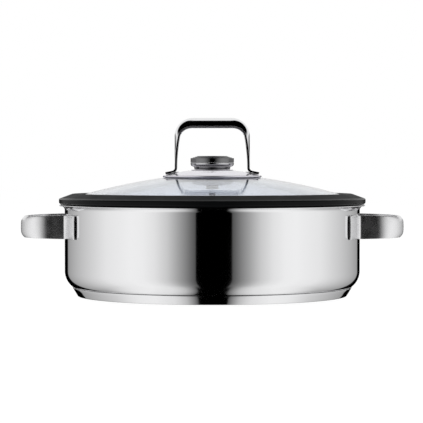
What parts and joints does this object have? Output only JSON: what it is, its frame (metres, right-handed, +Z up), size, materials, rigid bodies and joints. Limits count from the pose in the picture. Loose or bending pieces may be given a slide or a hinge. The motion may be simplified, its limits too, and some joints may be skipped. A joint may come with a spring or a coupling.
{
  "type": "steamer pot with lid",
  "caption": "Wide low stainless steamer pot with loop side handles, domed glass lid with silicone rim, arch handle and lid thermometer, and a lift-out perforated steaming tray.",
  "frame": {"origin": "centre of the underside of the base", "axes": "+Z up out of the pot, +X towards the right side handle, -Y towards the viewer"},
  "size_m": [0.3636, 0.293, 0.17],
  "materials": {
    "polished_steel": "mirror-polished stainless steel",
    "satin_steel": "satin stainless steel",
    "core_aluminium": "plain aluminium",
    "dark_chrome": "dark polished steel",
    "clear_glass": "clear tempered glass",
    "black_silicone": "matt black silicone",
    "clear_silicone": "translucent silicone",
    "dial_enamel": "white enamel with printed scale",
    "pointer_black": "black enamel",
    "bimetal": "bimetal strip"
  },
  "bodies": {
    "pot": {"pot_shell": "polished_steel", "base_capsule": "polished_steel", "base_core": "core_aluminium", "handle_right": "polished_steel", "handle_left": "polished_steel"},
    "tray": {"tray_wall": "satin_steel", "tray_floor": "satin_steel", "tray_foot_1": "satin_steel", "tray_foot_2": "satin_steel", "tray_foot_3": "satin_steel", "tray_saddle_right_front": "satin_steel", "tray_saddle_right_back": "satin_steel", "tray_saddle_left_front": "satin_steel", "tray_saddle_left_back": "satin_steel"},
    "bail_right": {"tray_bail_right": "polished_steel"},
    "bail_left": {"tray_bail_left": "polished_steel"},
    "lid": {"lid_glass": "clear_glass", "lid_seal": "black_silicone", "lid_plate": "satin_steel", "lid_plate_gasket": "black_silicone", "lid_handle": "polished_steel", "lid_upper_seal": "clear_silicone", "lid_grommet": "clear_silicone", "lid_lower_seal": "clear_silicone", "lid_washer": "polished_steel", "lid_nut": "polished_steel", "thermometer_washer": "satin_steel", "thermometer_case": "dark_chrome", "thermometer_bezel": "dark_chrome", "thermometer_lens": "clear_glass", "thermometer_dial": "dial_enamel", "thermometer_stem": "polished_steel", "thermometer_coil": "bimetal"},
    "pointer": {"thermometer_pointer": "pointer_black", "thermometer_shaft": "polished_steel"}
  },
  "joints": [
    {"name": "tray_lift", "type": "slide", "parent": "pot", "child": "tray", "axis": [0, 0, 1], "range_m": [0, 0.11]},
    {"name": "lid_lift", "type": "slide", "parent": "tray", "child": "lid", "axis": [0, 0, 1], "range_m": [0, 0.15]},
    {"name": "bail_right_swing", "type": "hinge", "parent": "tray", "child": "bail_right", "pos_m": [0.108, 0, 0.03255], "axis": [0, 1, 0], "range_deg": [0, 90]},
    {"name": "bail_left_swing", "type": "hinge", "parent": "tray", "child": "bail_left", "pos_m": [-0.108, 0, 0.03255], "axis": [0, -1, 0], "range_deg": [0, 90]},
    {"name": "pointer_turn", "type": "hinge", "parent": "lid", "child": "pointer", "pos_m": [0, 0, 0.128], "axis": [0, 0, -1], "range_deg": [-45, 225], "stiffness_Nm_per_rad": 0.00002}
  ]
}
